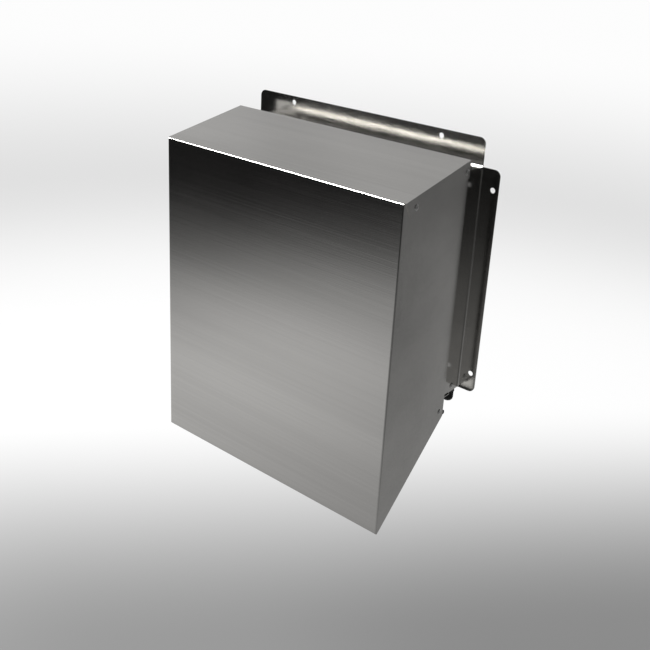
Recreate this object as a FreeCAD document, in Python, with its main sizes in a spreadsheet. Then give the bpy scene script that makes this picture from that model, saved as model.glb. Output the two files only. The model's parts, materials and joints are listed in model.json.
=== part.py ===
"""Wall-mounted stainless switchboard cabinet with a lift-off sloped cover.

Frame, in millimetres: X runs to the right of a person facing the cabinet, +Y points into
the wall and +Z up.  The origin is on the wall plane, in the middle of the wall tray's back.
"""
import FreeCAD, Part
import os
import re
import Sketcher

Vector = FreeCAD.Vector
Rotation = FreeCAD.Rotation

DIMENSIONS = {
    # folded sheet
    "sheet_gauge": 1.2,
    "bend_radius": 2,
    "tab_width": 23.4,
    "tab_start": 2.6,
    "tab_mitre": 15.5,
    "fold_gap": 0.4,
    "overcut": 5,
    # cover, measured from its front face and from the front's bottom edge
    "cover_width": 400,
    "cover_front": 460.5,
    "cover_depth": 144,
    "overall_depth": 185.3,
    "cover_drop": 309.3,
    "roof_rise": 27.8,
    "underside_rise": 119.1,
    "top_return": 12,
    "bottom_return": 16,
    "trim_depth": 5.3,
    "trim_height": 6,
    # blind rivets
    "rivet_radius": 2,
    "rivet_head": 4,
    "rivet_dome": 1.1,
    "rivet_tail": 2.4,
    "rivet_swell": 0.2,
    "front_rivet_in": 25,
    "rear_rivet_in": 137.2,
    "lower_rear_rivet_in": 134.4,
    "upper_rivet_inset": 13.3,
    "lower_rivet_inset": 14,
    # wall tray
    "tray_width": 394,
    "tray_height": 323.8,
    "tray_depth": 100,
    "side_flange": 26.5,
    "top_flange": 38.3,
    "flange_corner": 9,
    "fixing_hole": 3.75,
    "top_hole_pitch": 260,
    "top_hole_height": 29,
    "side_hole_pitch": 268,
    "side_hole_out": 18,
    "web_rivet_in": 19.5,
    "web_rivet_up": 9.3,
    "web_front_rivet_in": 82,
    "end_tab_height": 18,
    "end_tab_start": 15.5,
    "cable_entry_x": 120,
    "cable_entry_z": 132,
    "cable_entry": 18,
    "grommet_lip": 1.5,
    "grommet_flange": 3.5,
    "grommet_height": 2.2,
    "grommet_edge": 0.8,
    # earth stud
    "earth_stud_length": 20,
    "earth_collar": 3,
    "earth_nut_flats": 10,
    "earth_nut_height": 5,
    "lug_gap": 3,
    # cover fixings
    "fixing_pitch": 240,
    "stud_radius": 3,
    "stud_in": 30,
    "stud_length": 18,
    "stud_head_wide": 2,
    "stud_head_high": 1.5,
    "thread_lead": 0.8,
    "nut_radius": 9,
    "nut_height": 8,
    "nut_collar": 4.8,
    "nut_collar_high": 2,
    "knurl_radius": 0.7,
    "clip_width": 30,
    "clip_tongue": 3,
    "clip_clear": 2,
    "clip_foot": 14,
    # cable gland
    "gland_side": 9.2,
    "gland_in": 10.2,
    "gland_thread": 6,
    "gland_flats": 15,
    "gland_bore": 3.5,
    "gland_reach": 20,
    "gland_hex": 5,
    "gland_inside": 6,
    "gland_spigot": 8,
    "spigot_step": 0.5,
    "washer_gauge": 1,
    "locknut_height": 3,
    "seal_height": 2.7,
    "seal_gap": 0.2,
    "cap_floor": 2.1,
    "cap_cone": 4.5,
    "cap_wall": 0.5,
    "cap_clear": 0.3,
    "cap_groove": 0.55,
    # mounting plate and rails
    "plate_width": 340,
    "plate_low": 106,
    "plate_high": 147,
    "plate_gauge": 2,
    "standoff_length": 12.8,
    "standoff_x": 158,
    "standoff_inset": 12,
    "standoff_wall": 3,
    "plate_corner": 5,
    "plate_screw_head": 3.5,
    "rail_length": 300,
    "rail_height": 35,
    "rail_depth": 7.5,
    "upper_rail_z": 68,
    "lower_rail_z": 42,
    "rail_lip": 4,
    "rail_gauge": 1,
    "rail_screw_in": 17.5,
    "rail_screw_radius": 2.4,
    "rail_slot_start": 10,
    "rail_slot_length": 15,
    "rail_slot_half": 2.6,
    # modular devices
    "module_width": 17.8,
    "device_half_height": 41,
    "nose_half_height": 22.5,
    "shoulder_depth": 44,
    "nose_depth": 55,
    "pivot_depth": 46,
    "hub_radius": 8.4,
    "toggle_width": 7.6,
    "toggle_reach": 17.5,
    "toggle_angle": 42,
    "entry_depth": 26,
    "entry_radius": 2.6,
    "pin_radius": 1.5,
    "running_fit": 0.05,
    "side_clearance": 0.3,
    "button_radius": 3.8,
    "button_out": 3,
    "hook_depth": 3,
    "shoulder_edge": 4,
    "nose_draft": 0.6,
    "toggle_slot_half": 12.4,
    "toggle_slot_below": 9.4,
    "pole_screw_inset": 9.5,
    "pole_screw_well": 3.1,
    "pole_well_depth": 4,
    "entry_length": 10,
    # busbar
    "busbar_drop": 9.6,
    "busbar_gauge": 2,
    "busbar_height": 8,
    "tooth_width": 3,
    "tooth_length": 9,
    "shroud_wall": 1.5,
    "shroud_depth": 8,
    # terminals and bars
    "terminal_width": 6.2,
    "terminal_height": 45,
    "terminal_depth": 38,
    "bar_length": 90,
    "bar_section": 9,
    "bar_z": 92,
    "bar_x": 85,
    "bar_standoff": 9,
    "bar_screw_well": 1.9,
    "bar_well_depth": 3,
    "bar_wire_hole": 1.7,
    "terminal_row": 60,
    "terminal_well": 2.1,
    "terminal_well_depth": 4,
    "terminal_well_in": 12,
    "terminal_chamfer": 8,
    "end_stop_width": 8,
    "end_stop_gap": 0.4,
}

document = FreeCAD.newDocument("SwitchboardCabinet")
sheet = document.addObject("Spreadsheet::Sheet", "Dimensions")
for row, (alias, amount) in enumerate(DIMENSIONS.items(), start=1):
    sheet.set(f"A{row}", alias)
    sheet.set(f"B{row}", str(amount))
    sheet.setAlias(f"B{row}", alias)
document.recompute()

NODES = []


def cells(text):
    """Point every dimension's name in an expression at its spreadsheet cell."""

    def point(match):
        word = match.group()
        return "Dimensions." + word if word in DIMENSIONS else word

    return re.sub(r"[a-z_]+", point, str(text))


def size(text):
    """The number that an expression stands for now."""
    return float(sheet.evalExpression(cells(text)))


def node(thing, label):
    """Name a finished sub-part and list it for export."""
    thing.Label = label
    NODES.append(thing)
    return thing


def place(thing, x, y, z, turn=None):
    """Bind a sub-part's position to the sheet, after an optional fixed turn."""
    if turn is not None:
        thing.Placement = FreeCAD.Placement(Vector(0, 0, 0), turn)
    for axis, text in zip("xyz", (x, y, z)):
        thing.setExpression(f"Placement.Base.{axis}", cells(text))
    return thing


# ---------------------------------------------------------------- sketches and features

def new_body(label):
    return node(document.addObject("PartDesign::Body", label), label)


def sketch_on(body, plane, offset):
    planes = {feature.Role: feature for feature in body.Origin.OriginFeatures}
    sketch = body.newObject("Sketcher::SketchObject", body.Name + "Sketch")
    sketch.AttachmentSupport = [(planes[plane], "")]
    sketch.MapMode = "FlatFace"
    sketch.setExpression("AttachmentOffset.Base.z", cells(offset))
    return sketch


def pin_point(sketch, item, end, x, y):
    """Hold one point of a sketch at a place that the sheet gives."""
    for kind, text in (("DistanceX", x), ("DistanceY", y)):
        rule = Sketcher.Constraint(kind, -1, 1, item, end, size(text))
        sketch.setExpression(f"Constraints[{sketch.addConstraint(rule)}]", cells(text))


def outline(body, plane, points, offset="0"):
    """A closed sketch with straight sides through points given as expressions."""
    sketch = sketch_on(body, plane, offset)
    corners = [Vector(size(x), size(y), 0) for x, y in points]
    count = len(corners)
    for item in range(count):
        sketch.addGeometry(Part.LineSegment(corners[item], corners[(item + 1) % count]), False)
    for item in range(count):
        sketch.addConstraint(Sketcher.Constraint("Coincident", item, 2, (item + 1) % count, 1))
    for item, (x, y) in enumerate(points):
        pin_point(sketch, item, 1, x, y)
    return sketch


def circles(body, plane, centres, radius, offset="0"):
    """A sketch of equal circles whose centres are given as expressions."""
    sketch = sketch_on(body, plane, offset)
    for x, y in centres:
        middle = Vector(size(x), size(y), 0)
        item = sketch.addGeometry(Part.Circle(middle, Vector(0, 0, 1), size(radius)), False)
        pin_point(sketch, item, 3, x, y)
        rule = sketch.addConstraint(Sketcher.Constraint("Radius", item, size(radius)))
        sketch.setExpression(f"Constraints[{rule}]", cells(radius))
    return sketch


def rectangle(x_low, x_high, y_low, y_high):
    return [(x_low, y_low), (x_high, y_low), (x_high, y_high), (x_low, y_high)]


def pad(body, sketch, length, side="One side"):
    feature = body.newObject("PartDesign::Pad", body.Name + "Pad")
    feature.Profile = sketch
    feature.SideType = side
    feature.setExpression("Length", cells(length))
    body.Tip = feature
    document.recompute()
    return feature


def pocket(body, sketch, length=None, side="One side", reverse=False):
    """Cut a sketch out of the body, to a depth or right through, and prove that it cut."""
    before = body.Shape.Volume
    feature = body.newObject("PartDesign::Pocket", body.Name + "Pocket")
    feature.Profile = sketch
    feature.SideType = side
    feature.Reversed = reverse
    if length is None:
        feature.Type = "ThroughAll"
    else:
        feature.setExpression("Length", cells(length))
    body.Tip = feature
    document.recompute()
    if not body.Shape.Volume < before - 1e-6:
        raise RuntimeError(f"{body.Label}: a pocket cut nothing")
    return feature


def round_edges(body, radius, chosen):
    """Fillet the edges of the body's tip that the test picks."""
    base = body.Tip
    names = [f"Edge{i}" for i, edge in enumerate(base.Shape.Edges, start=1) if chosen(edge)]
    if not names:
        raise RuntimeError(f"{body.Label}: no edge to round")
    feature = body.newObject("PartDesign::Fillet", body.Name + "Fillet")
    feature.Base = (base, names)
    feature.setExpression("Radius", cells(radius))
    body.Tip = feature
    document.recompute()
    return feature


def spans(edge, x=None, y=None, z=None, near=0.02):
    """True when every point of an edge's box lies at the given coordinates."""
    box = edge.BoundBox
    limits = ((x, box.XMin, box.XMax), (y, box.YMin, box.YMax), (z, box.ZMin, box.ZMax))
    return all(want is None or (abs(low - want) < near and abs(high - want) < near)
               for want, low, high in limits)


# ---------------------------------------------------------------- primitives and groups

def block(label, low, lengths):
    """A plain block from its low corner and its three lengths."""
    thing = document.addObject("Part::Box", label)
    for name, text in zip(("Length", "Width", "Height"), lengths):
        thing.setExpression(name, cells(text))
    return place(thing, *low)


AXIS_TURNS = {
    "+z": Rotation(),
    "-z": Rotation(Vector(1, 0, 0), 180),
    "+y": Rotation(Vector(1, 0, 0), -90),
    "-y": Rotation(Vector(1, 0, 0), 90),
    "+x": Rotation(Vector(0, 1, 0), 90),
    "-x": Rotation(Vector(0, 1, 0), -90),
}


def rod(label, radius, length, base, axis="+z"):
    """A cylinder that starts at base and runs along the named axis."""
    thing = document.addObject("Part::Cylinder", label)
    thing.setExpression("Radius", cells(radius))
    thing.setExpression("Height", cells(length))
    return place(thing, *base, turn=AXIS_TURNS[axis])


def hexagon(label, flats, length, base, axis="+z", twist=30):
    """A hexagonal bar; twist 30 turns two of its flats to face along X."""
    thing = document.addObject("Part::Prism", label)
    thing.Polygon = 6
    thing.setExpression("Circumradius", cells(f"({flats})/sqrt(3)"))
    thing.setExpression("Height", cells(length))
    turn = AXIS_TURNS[axis].multiply(Rotation(Vector(0, 0, 1), twist))
    return place(thing, *base, turn=turn)


def joined(label, pieces):
    thing = document.addObject("Part::MultiFuse", label)
    thing.Shapes = pieces
    thing.Refine = True
    return thing


def cut(label, base, tools):
    thing = document.addObject("Part::Cut", label)
    thing.Base = base
    thing.Tool = tools[0] if len(tools) == 1 else joined(label + "Tools", tools)
    return thing


def turned(profile):
    """A solid of revolution about +Z from (radius, height) pairs given as expressions."""
    points = [Vector(size(radius), 0, size(height)) for radius, height in profile]
    face = Part.Face(Part.makePolygon(points + points[:1]))
    return face.revolve(Vector(0, 0, 0), Vector(0, 0, 1), 360)


def group(label, shape, places, axis="+z"):
    """One node of equal separate solids, each turned to the axis and moved to its place."""
    thing = document.addObject("Part::Feature", label)
    if len(places) == 1:
        thing.Shape = shape
        place(thing, *places[0], turn=AXIS_TURNS[axis])
        return node(thing, label)
    copies = []
    for x, y, z in places:
        spot = FreeCAD.Placement(Vector(size(x), size(y), size(z)), AXIS_TURNS[axis])
        copies.append(shape.transformed(spot.toMatrix()))
    thing.Shape = Part.makeCompound(copies)
    return node(thing, label)


def slotted_screw(radius, head_height, shank, shank_length):
    """A cheese-head screw along +Z: its head starts at z 0 and its shank runs below it."""
    body = turned([("0", f"-({shank_length})"), (shank, f"-({shank_length})"), (shank, "0"),
                   (radius, "0"), (radius, f"0.7*({head_height})"),
                   (f"({radius}) - 0.3*({head_height})", head_height), ("0", head_height)])
    width = size(radius)
    height = size(head_height)
    corner = Vector(-1.2 * width, -0.15 * width, 0.5 * height)
    slot = Part.makeBox(2.4 * width, 0.3 * width, height, corner)
    return body.cut(slot)


# ---------------------------------------------------------------- lines of the cover's side

COVER_REAR = "(cover_depth - overall_depth)"
TRAY_TOP = "(tray_height/2)"
TRAY_SIDE = "(tray_width/2)"
ROOF_SECANT = "sqrt(1 + (roof_rise/cover_depth)^2)"
UNDERSIDE_SECANT = "sqrt(1 + (underside_rise/cover_depth)^2)"


def at_depth(depth):
    """The Y of a place that lies a depth behind the cover's front face."""
    return f"({depth}) - overall_depth"


def roof_line(depth, inset="0"):
    """The Z of the roof at a depth, moved inwards square to the sheet."""
    rise = f"({depth})*roof_rise/cover_depth"
    return f"cover_front - cover_drop + {rise} - ({inset})*{ROOF_SECANT}"


def underside_line(depth, inset="0"):
    """The Z of the slanting underside at a depth, moved inwards square to the sheet."""
    rise = f"({depth})*underside_rise/cover_depth"
    return f"{rise} - cover_drop + ({inset})*{UNDERSIDE_SECANT}"


def side_point(line, depth, inset="0"):
    return at_depth(depth), line(depth, inset)


ROOF_RIVETS = [
    side_point(roof_line, "front_rivet_in", "upper_rivet_inset"),
    side_point(roof_line, "rear_rivet_in", "upper_rivet_inset"),
]
LOWER_RIVETS = [side_point(underside_line, "lower_rear_rivet_in", "lower_rivet_inset")]
FIXING_X = ("-fixing_pitch/2", "fixing_pitch/2")
# shares of the head's radius and of the dome's height, from the rim to the mandrel's dimple
RIVET_DOME = ((0.94, 0.5), (0.7, 0.9), (0.36, 1), (0.3, 0.7), (0, 0.7))
# no straight edge other than a wall's own fold is longer than this
FOLD_LENGTH = 200


# ---------------------------------------------------------------- lift-off cover

def make_cover():
    """One folded sheet: front, sides, roof and underside, with riveted tabs and rear lips.

    The roof's tabs lie outside the side walls and the underside's tabs inside them.
    """
    body = new_body("hood_cover")
    outside = [side_point(underside_line, "0"), side_point(roof_line, "0"),
               side_point(roof_line, "cover_depth"), side_point(underside_line, "cover_depth")]
    pad(body, outline(body, "YZ_Plane", outside), "cover_width", "Symmetric")
    front = size("-overall_depth")
    round_edges(body, "bend_radius", lambda edge: spans(edge, y=front))

    beyond = "cover_depth + overcut"
    inside = [side_point(underside_line, "sheet_gauge", "sheet_gauge"),
              side_point(roof_line, "sheet_gauge", "sheet_gauge"),
              side_point(roof_line, beyond, "sheet_gauge"),
              side_point(underside_line, beyond, "sheet_gauge")]
    pocket(body, outline(body, "YZ_Plane", inside), "cover_width - 2*sheet_gauge", "Symmetric")

    roof_tab = [side_point(roof_line, "tab_start"), side_point(roof_line, "cover_depth"),
                side_point(roof_line, "cover_depth", "tab_width"),
                side_point(roof_line, "tab_mitre", "tab_width")]
    lower_tab = [side_point(underside_line, "tab_start"),
                 side_point(underside_line, "cover_depth"),
                 side_point(underside_line, "cover_depth", "tab_width"),
                 side_point(underside_line, "tab_mitre/2", "tab_width")]
    for tab, face in ((roof_tab, "cover_width/2"), (lower_tab, "cover_width/2 - 2*sheet_gauge")):
        for start in (face, f"-({face}) - sheet_gauge"):
            pad(body, outline(body, "YZ_Plane", tab, start), "sheet_gauge")

    lip = "cover_depth - sheet_gauge"
    top_low = f"{TRAY_TOP} + fold_gap"
    top_high = f"{top_low} + sheet_gauge"
    top_lip = [side_point(roof_line, lip, "sheet_gauge/2"),
               side_point(roof_line, "cover_depth", "sheet_gauge/2"),
               (COVER_REAR, top_high), (f"{COVER_REAR} + top_return", top_high),
               (f"{COVER_REAR} + top_return", top_low), (at_depth(lip), top_low)]
    low_high = f"-{TRAY_TOP} - fold_gap"
    low_low = f"{low_high} - sheet_gauge"
    low_lip = [side_point(underside_line, lip, "sheet_gauge/2"),
               side_point(underside_line, "cover_depth", "sheet_gauge/2"),
               (COVER_REAR, low_low), (f"{COVER_REAR} + bottom_return", low_low),
               (f"{COVER_REAR} + bottom_return", low_high), (at_depth(lip), low_high)]
    for profile in (top_lip, low_lip):
        width = "cover_width - 2*sheet_gauge - 2*fold_gap"
        pad(body, outline(body, "YZ_Plane", profile), width, "Symmetric")

    rivets = ROOF_RIVETS + LOWER_RIVETS
    pocket(body, circles(body, "YZ_Plane", rivets, "rivet_radius + running_fit"), None, "Symmetric")
    slot_half = "stud_radius + fold_gap"
    for middle in FIXING_X:
        slot = rectangle(f"{middle} - ({slot_half})", f"{middle} + {slot_half}",
                         "-stud_in", f"{COVER_REAR} + bottom_return + overcut")
        pocket(body, outline(body, "XY_Plane", slot, low_low), "2*sheet_gauge", reverse=True)
        end = circles(body, "XY_Plane", [(middle, "-stud_in")], slot_half, low_low)
        pocket(body, end, "2*sheet_gauge", reverse=True)


def blind_rivet():
    """A set blind rivet along +Z: domed head above z 0 and a flared tail below the sheets."""
    grip = "sheet_gauge*2 + running_fit"
    tail = f"{grip} + rivet_tail"
    below = [("0", f"-({tail})"), ("rivet_radius", f"-({tail})"),
             ("rivet_radius + rivet_swell", f"4*rivet_swell - ({tail})"),
             ("rivet_radius + rivet_swell", f"-({grip})"),
             ("rivet_radius", f"-({grip})"), ("rivet_radius", "0"), ("rivet_head", "0")]
    above = [(f"rivet_head*{across}", f"rivet_dome*{up}") for across, up in RIVET_DOME]
    return turned(below + above)


def make_cover_fittings():
    """Rivets of both sides and the rubber drip trim behind the underside's lip."""
    shape = blind_rivet()
    right = [("cover_width/2 + sheet_gauge", y, z) for y, z in ROOF_RIVETS]
    right += [("cover_width/2", y, z) for y, z in LOWER_RIVETS]
    group("hood_rivets_right", shape, right, "+x")
    left = [(f"-({x})", y, z) for x, y, z in right]
    group("hood_rivets_left", shape, left, "-x")

    trim = new_body("drip_trim")
    low = underside_line("cover_depth", "sheet_gauge/2")
    section = rectangle(COVER_REAR, f"{COVER_REAR} + trim_depth", low, f"{low} + trim_height")
    pad(trim, outline(trim, "YZ_Plane", section), "cover_width - sheet_gauge", "Symmetric")
    rear = size(f"{COVER_REAR} + trim_depth")
    round_edges(trim, "0.4*trim_depth", lambda edge: spans(edge, y=rear) and edge.Length > FOLD_LENGTH)


# ---------------------------------------------------------------- wall tray

def make_tray():
    """Top and side walls folded out into the three wall flanges."""
    body = new_body("wall_tray")
    inner = f"{TRAY_SIDE} - sheet_gauge"
    walls = [(f"-{TRAY_SIDE}", f"-{TRAY_TOP}"), (f"-{TRAY_SIDE}", TRAY_TOP),
             (TRAY_SIDE, TRAY_TOP), (TRAY_SIDE, f"-{TRAY_TOP}"),
             (inner, f"-{TRAY_TOP}"), (inner, f"{TRAY_TOP} - sheet_gauge"),
             (f"-({inner})", f"{TRAY_TOP} - sheet_gauge"), (f"-({inner})", f"-{TRAY_TOP}")]
    pad(body, outline(body, "XZ_Plane", walls), "tray_depth")
    half_width = size(TRAY_SIDE)
    half_height = size(TRAY_TOP)
    out = size(f"{TRAY_SIDE} + side_flange")
    high = size(f"{TRAY_TOP} + top_flange")
    front = size("-sheet_gauge")

    for flange in (rectangle(inner, f"{TRAY_SIDE} + side_flange", f"-{TRAY_TOP}", TRAY_TOP),
                   rectangle(f"-{TRAY_SIDE} - side_flange", f"-({inner})", f"-{TRAY_TOP}", TRAY_TOP)):
        pad(body, outline(body, "XZ_Plane", flange), "sheet_gauge")
    round_edges(body, "bend_radius", lambda edge: edge.Length > FOLD_LENGTH
                and any(spans(edge, x=side * half_width, y=front) for side in (-1, 1)))
    top = rectangle(f"-{TRAY_SIDE}", TRAY_SIDE,
                    f"{TRAY_TOP} - sheet_gauge", f"{TRAY_TOP} + top_flange")
    pad(body, outline(body, "XZ_Plane", top), "sheet_gauge")
    round_edges(body, "bend_radius", lambda edge: edge.Length > FOLD_LENGTH
                and spans(edge, y=front, z=half_height))

    def flange_corner(edge):
        side = any(spans(edge, x=s * out, z=u * half_height) for s in (-1, 1) for u in (-1, 1))
        return side or any(spans(edge, x=s * half_width, z=high) for s in (-1, 1))

    round_edges(body, "flange_corner", flange_corner)

    holes = [(x, z) for x in (f"-{TRAY_SIDE} - side_hole_out", f"{TRAY_SIDE} + side_hole_out")
             for z in ("-side_hole_pitch/2", "side_hole_pitch/2")]
    holes += [(x, f"{TRAY_TOP} + top_hole_height") for x in ("-top_hole_pitch/2", "top_hole_pitch/2")]
    pocket(body, circles(body, "XZ_Plane", holes, "fixing_hole"), None, "Symmetric")
    rivets = [("-web_rivet_in", f"web_rivet_up - {TRAY_TOP}"),
              ("-web_front_rivet_in", f"web_rivet_up - {TRAY_TOP}")]
    pocket(body, circles(body, "YZ_Plane", rivets, "rivet_radius + running_fit"), None, "Symmetric")
    return rivets


def make_gland_plate(rivets):
    """Bottom of the tray, with end tabs riveted inside the side walls."""
    body = new_body("gland_plate")
    reach = f"{TRAY_SIDE} - sheet_gauge"
    floor = rectangle(f"-({reach})", reach, f"-{TRAY_TOP}", f"sheet_gauge - {TRAY_TOP}")
    pad(body, outline(body, "XZ_Plane", floor), "tray_depth")
    low = f"-{TRAY_TOP}"
    high = f"end_tab_height - {TRAY_TOP}"
    for inner, outer in ((f"{reach} - sheet_gauge", reach), (f"-({reach})", f"sheet_gauge - ({reach})")):
        tab = outline(body, "XZ_Plane", rectangle(inner, outer, low, high), "end_tab_start")
        pad(body, tab, "tray_depth - end_tab_start")
    pocket(body, circles(body, "YZ_Plane", rivets, "rivet_radius + running_fit"), None, "Symmetric")
    spot = [(f"{TRAY_SIDE} - gland_side", "-gland_in")]
    hole = circles(body, "XY_Plane", spot, "gland_thread + running_fit")
    pocket(body, hole, None, "Symmetric")
    studs = circles(body, "XY_Plane", [(x, "-stud_in") for x in FIXING_X], "stud_radius + running_fit")
    pocket(body, studs, None, "Symmetric")


def make_back_plate():
    """Flat back, welded inside the tray's walls, with a round cable entry and an earth stud hole."""
    body = new_body("back_plate")
    side = f"({TRAY_SIDE} - sheet_gauge)"
    top = f"({TRAY_TOP} - sheet_gauge)"
    face = rectangle(f"-{side}", side, f"-{top}", top)
    pad(body, outline(body, "XZ_Plane", face), "sheet_gauge")
    entry = circles(body, "XZ_Plane", [("-cable_entry_x", "-cable_entry_z")], "cable_entry + sheet_gauge")
    pocket(body, entry, None, "Symmetric")
    stud = circles(body, "XZ_Plane", [("cable_entry_x", "-cable_entry_z")], "stud_radius + running_fit")
    pocket(body, stud, None, "Symmetric")

    edge = "sheet_gauge + grommet_height - grommet_edge"
    ring = turned([("cable_entry - grommet_lip", "0"), ("cable_entry + sheet_gauge", "0"),
                   ("cable_entry + sheet_gauge", "sheet_gauge"),
                   ("cable_entry + grommet_flange", "sheet_gauge"),
                   ("cable_entry + grommet_flange", edge),
                   ("cable_entry + grommet_flange - grommet_edge", f"{edge} + grommet_edge"),
                   ("cable_entry - grommet_lip + grommet_edge", f"{edge} + grommet_edge"),
                   ("cable_entry - grommet_lip", edge)])
    group("cable_entry_grommet", ring, [("-cable_entry_x", "0", "-cable_entry_z")], "-y")


def make_tray_fittings(rivets):
    """Tray rivets, cover clips, cover studs and their knurled nuts, and the earth stud."""
    shape = blind_rivet()
    right = [(TRAY_SIDE, y, z) for y, z in rivets]
    group("tray_rivets_right", shape, right, "+x")
    left = [(f"-{TRAY_SIDE}", y, z) for y, z in rivets]
    group("tray_rivets_left", shape, left, "-x")

    clip = new_body("cover_clips")
    rise = f"{TRAY_TOP} + 2*fold_gap + sheet_gauge"
    tongue = f"{COVER_REAR} + clip_tongue"
    step = f"{COVER_REAR} + top_return + clip_clear"
    foot = f"{step} + clip_foot"
    section = [(tongue, rise), (step, rise), (step, TRAY_TOP), (foot, TRAY_TOP),
               (foot, f"{TRAY_TOP} + sheet_gauge"), (f"{step} + sheet_gauge", f"{TRAY_TOP} + sheet_gauge"),
               (f"{step} + sheet_gauge", f"{rise} + sheet_gauge"), (tongue, f"{rise} + sheet_gauge")]
    for middle in FIXING_X:
        pad(clip, outline(clip, "YZ_Plane", section, f"{middle} - clip_width/2"), "clip_width")

    head = "stud_radius + stud_head_wide"
    stud = turned([("0", "stud_head_high"), (head, "stud_head_high"), (head, "0"), ("stud_radius", "0"),
                   ("stud_radius", "thread_lead - stud_length"),
                   ("stud_radius - thread_lead", "-stud_length"), ("0", "-stud_length")])
    group("cover_studs", stud, [(x, "-stud_in", f"sheet_gauge - {TRAY_TOP}") for x in FIXING_X])

    seat = f"-{TRAY_TOP} - 3*fold_gap - sheet_gauge"
    for side, middle in zip(("left", "right"), FIXING_X):
        knurled_nut(f"cover_nut_{side}", middle, seat)
    make_earth_stud()


def make_earth_stud():
    """Earth stud in the back plate with a nut on each side of the lugs' place."""
    collar = "stud_radius + earth_collar"
    stud = turned([("0", "-sheet_gauge"), ("stud_radius", "-sheet_gauge"), ("stud_radius", "0"),
                   (collar, "0"), (collar, "sheet_gauge"), ("stud_radius", "sheet_gauge"),
                   ("stud_radius", "earth_stud_length - thread_lead"),
                   ("stud_radius - thread_lead", "earth_stud_length"), ("0", "earth_stud_length")])
    group("earth_stud", stud, [("cable_entry_x", "-sheet_gauge", "-cable_entry_z")], "-y")
    gaps = (("earth_nut_inner", "sheet_gauge"),
            ("earth_nut_outer", "sheet_gauge + earth_nut_height + lug_gap"))
    for label, gap in gaps:
        start = f"-sheet_gauge - ({gap})"
        nut = hexagon(label + "Bar", "earth_nut_flats", "earth_nut_height",
                      ("cable_entry_x", start, "-cable_entry_z"), "-y")
        bore = rod(label + "Bore", "stud_radius + running_fit", "earth_nut_height + 2*overcut",
                   ("cable_entry_x", f"{start} + overcut", "-cable_entry_z"), "-y")
        node(cut(label, nut, [bore]), label)


def knurled_nut(label, middle, seat):
    """A knurled thumb nut on a cover stud, with a smaller collar under the cover's lip."""
    body = new_body(label)
    pad(body, circles(body, "XY_Plane", [("0", "0")], "nut_collar", "-nut_height"), "nut_height")
    pad(body, circles(body, "XY_Plane", [("0", "0")], "nut_radius", "-nut_height"),
        "nut_height - nut_collar_high")
    count = 24
    out = "(nut_radius + 0.35*knurl_radius)"
    turns = [step * 360 / count for step in range(count)]
    grooves = [(f"{out}*cos({turn})", f"{out}*sin({turn})") for turn in turns]
    cuts = circles(body, "XY_Plane", grooves, "knurl_radius", "-nut_collar_high - knurl_radius")
    pocket(body, cuts, "nut_height")
    pocket(body, circles(body, "XY_Plane", [("0", "0")], "stud_radius + running_fit"), None, "Symmetric")
    place(body, middle, "-stud_in", seat)


# ---------------------------------------------------------------- cable gland

# steps out from the hexagon's flats and up from the gland's end
CAP_DOME = (("cap_wall", 5), (-0.2, 2.6), (-1.6, 0.9), (-3.4, 0))


def make_gland():
    """A small cable gland tucked into the tray's rear right corner."""
    x = f"{TRAY_SIDE} - gland_side"
    y = "-gland_in"
    under = f"-{TRAY_TOP}"
    inside = f"sheet_gauge - {TRAY_TOP}"
    hex_end = "(washer_gauge + gland_hex)"
    across = "gland_flats/2"
    spigot = "gland_thread - spigot_step"
    washer = turned([("gland_thread + running_fit", "0"), (across, "0"),
                     (across, "-washer_gauge"), ("gland_thread + running_fit", "-washer_gauge")])
    group("gland_washer", washer, [(x, y, under)])

    pieces = [hexagon("gland_hexagon", "gland_flats", "gland_hex", (x, y, f"{under} - {hex_end}")),
              rod("gland_upper_thread", "gland_thread", f"{hex_end} + sheet_gauge + gland_inside",
                  (x, y, f"{under} - {hex_end}")),
              rod("gland_lower_thread", spigot, "gland_spigot",
                  (x, y, f"{under} - {hex_end} - gland_spigot"))]
    hole = rod("gland_hole", "gland_bore", "2*gland_reach", (x, y, f"{under} - gland_reach"))
    node(cut("gland_body", joined("gland_solid", pieces), [hole]), "gland_body")

    nut = hexagon("gland_locknut_bar", "gland_flats", "locknut_height", (x, y, inside))
    nut_hole = rod("gland_locknut_hole", "gland_thread + running_fit", "locknut_height + 2*overcut",
                   (x, y, f"{inside} - overcut"))
    node(cut("gland_locknut", nut, [nut_hole]), "gland_locknut")

    seal_end = "-seal_height"
    seal = turned([("gland_bore", "0"), ("gland_thread - 1", "0"), ("gland_thread - 1", "-1"),
                   ("gland_bore + cap_wall", seal_end), ("gland_bore", seal_end)])
    group("gland_seal", seal, [(x, y, f"{under} - {hex_end} - gland_spigot - seal_gap")])

    mouth = f"-{hex_end} - cap_clear"
    dome = turned([(f"{spigot} + running_fit", mouth), (f"{across} + cap_wall", mouth)]
                  + [(f"{across} + ({out})", f"{up} - gland_reach") for out, up in CAP_DOME]
                  + [("gland_bore", "-gland_reach"), ("gland_bore", "cap_floor - gland_reach"),
                     (f"{spigot} + running_fit", "cap_cone - gland_reach")])
    notches = []
    for step in range(12):
        spin = FreeCAD.Placement(Vector(0, 0, 0), Rotation(Vector(0, 0, 1), step * 30))
        corner = Vector(size(f"{across} + cap_wall + 0.25"), 0, size("cap_floor + cap_cone - gland_reach"))
        notch = Part.makeCylinder(size("cap_groove"), size("gland_spigot"), corner)
        notches.append(notch.transformed(spin.toMatrix()))
    group("gland_cap_nut", dome.cut(Part.makeCompound(notches)), [(x, y, under)])


# ---------------------------------------------------------------- mounting plate and rails

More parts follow.
